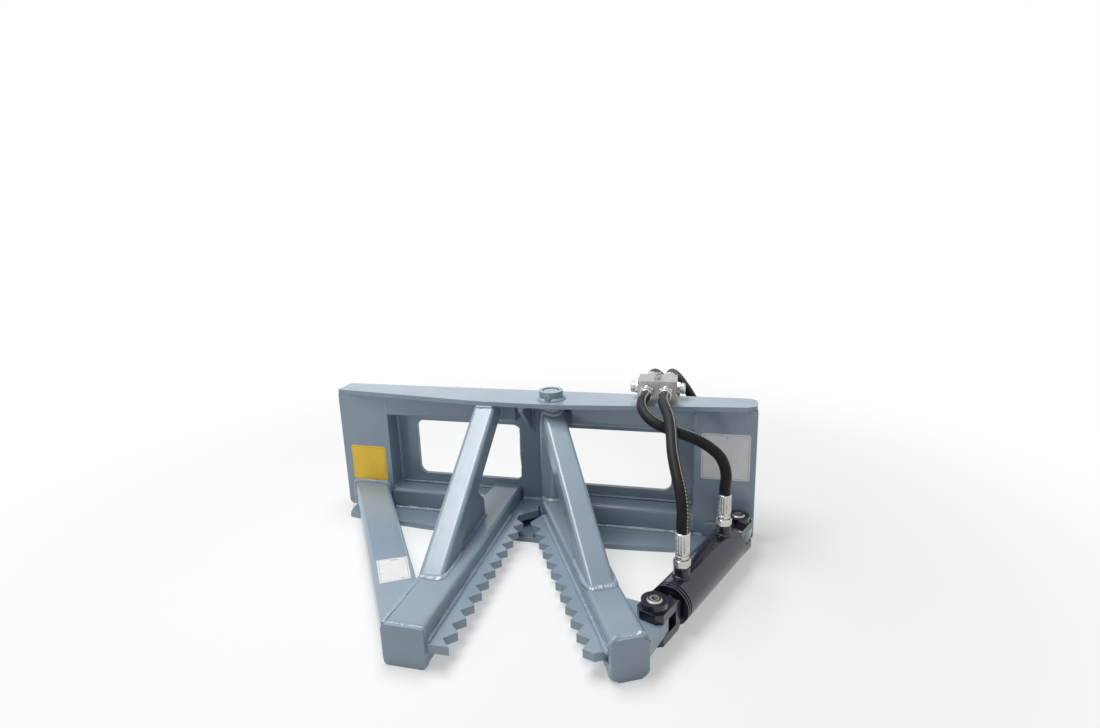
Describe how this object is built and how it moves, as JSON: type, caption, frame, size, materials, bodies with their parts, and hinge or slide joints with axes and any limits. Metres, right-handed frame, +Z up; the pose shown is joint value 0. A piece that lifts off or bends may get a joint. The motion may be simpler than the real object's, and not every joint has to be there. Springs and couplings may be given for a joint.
{
  "type": "tree puller",
  "caption": "Hydraulic tree puller for a compact loader: toothed fixed jaw and toothed moving jaw on a quick-attach frame, closed by one cylinder.",
  "frame": {"origin": "on the floor under the middle of the mount frame's front face", "axes": "+X to the right seen from the jaws, +Y from the jaws towards the loader, +Z up along the pivot"},
  "size_m": [0.98, 0.7799, 0.368],
  "materials": {
    "paint": "gloss blue-grey paint",
    "black_paint": "satin black paint",
    "steel": "machined steel",
    "plated_steel": "bright zinc plating",
    "chrome": "hard chrome",
    "raw_aluminium": "machined aluminium",
    "bronze": "bearing bronze",
    "hose_rubber": "matt rubber cover",
    "black_plastic": "spiral guard"
  },
  "bodies": {
    "frame": {"top_plate": "paint", "bottom_plate": "paint", "left_side_box": "paint", "right_side_box": "paint", "back_plate": "paint", "hook_lip": "paint", "upper_cross_tube_left": "paint", "upper_cross_tube_right": "paint", "lower_cross_tube_left": "paint", "lower_cross_tube_right": "paint", "centre_post": "paint", "post_gusset": "paint", "fixed_outer_tube": "paint", "fixed_inner_tube": "paint", "fixed_jaw_cap": "paint", "fixed_brace": "paint", "fixed_brace_web": "paint", "fixed_blade": "paint", "pivot_pin": "steel", "pivot_collar": "paint", "pivot_cross_bolt": "plated_steel", "cylinder_base_lug": "paint", "round_boss": "paint", "valve_block": "raw_aluminium", "valve_caps": "plated_steel", "valve_front_fittings": "plated_steel", "valve_rear_fittings": "plated_steel", "valve_bolts": "steel", "hose_base_end": "hose_rubber", "hose_rod_end": "hose_rubber", "supply_hose_a": "hose_rubber", "supply_hose_b": "hose_rubber", "spiral_wrap": "black_plastic", "quick_coupler_a": "plated_steel", "quick_coupler_b": "plated_steel"},
    "jaw": {"pivot_tube": "paint", "pivot_bushes": "bronze", "thrust_washers": "bronze", "moving_jaw_tube": "paint", "moving_jaw_cap": "paint", "moving_brace": "paint", "moving_blade": "paint", "rod_lug": "paint"},
    "cylinder": {"cylinder_barrel": "black_paint", "cylinder_gland": "black_paint", "base_clevis": "black_paint", "port_bosses": "black_paint", "hose_end_fittings": "plated_steel", "base_pin": "steel", "base_roll_pin": "steel"},
    "rod": {"piston": "steel", "piston_rod": "chrome", "rod_clevis": "black_paint", "rod_clevis_pin": "steel", "rod_roll_pin": "steel"}
  },
  "joints": [
    {"name": "jaw_swing", "type": "hinge", "parent": "frame", "child": "jaw", "pos_m": [0.048, 0.002, 0.15], "axis": [0, 0, -1], "range_deg": [0, 27]},
    {"name": "cylinder_swing", "type": "hinge", "parent": "frame", "child": "cylinder", "pos_m": [0.456, -0.042, 0.047], "axis": [0, 0, -1], "range_deg": [0, 17], "deforming": ["hose_base_end", "hose_rod_end"]},
    {"name": "rod_slide", "type": "slide", "parent": "cylinder", "child": "rod", "axis": [-0.4012, -0.916, 0], "range_m": [0, 0.178]}
  ],
  "couplings": [
    {"joint": "cylinder_swing", "follows": "jaw_swing", "ratio": 0.61},
    {"joint": "rod_slide", "follows": "jaw_swing", "m_per_rad": 0.3725}
  ]
}
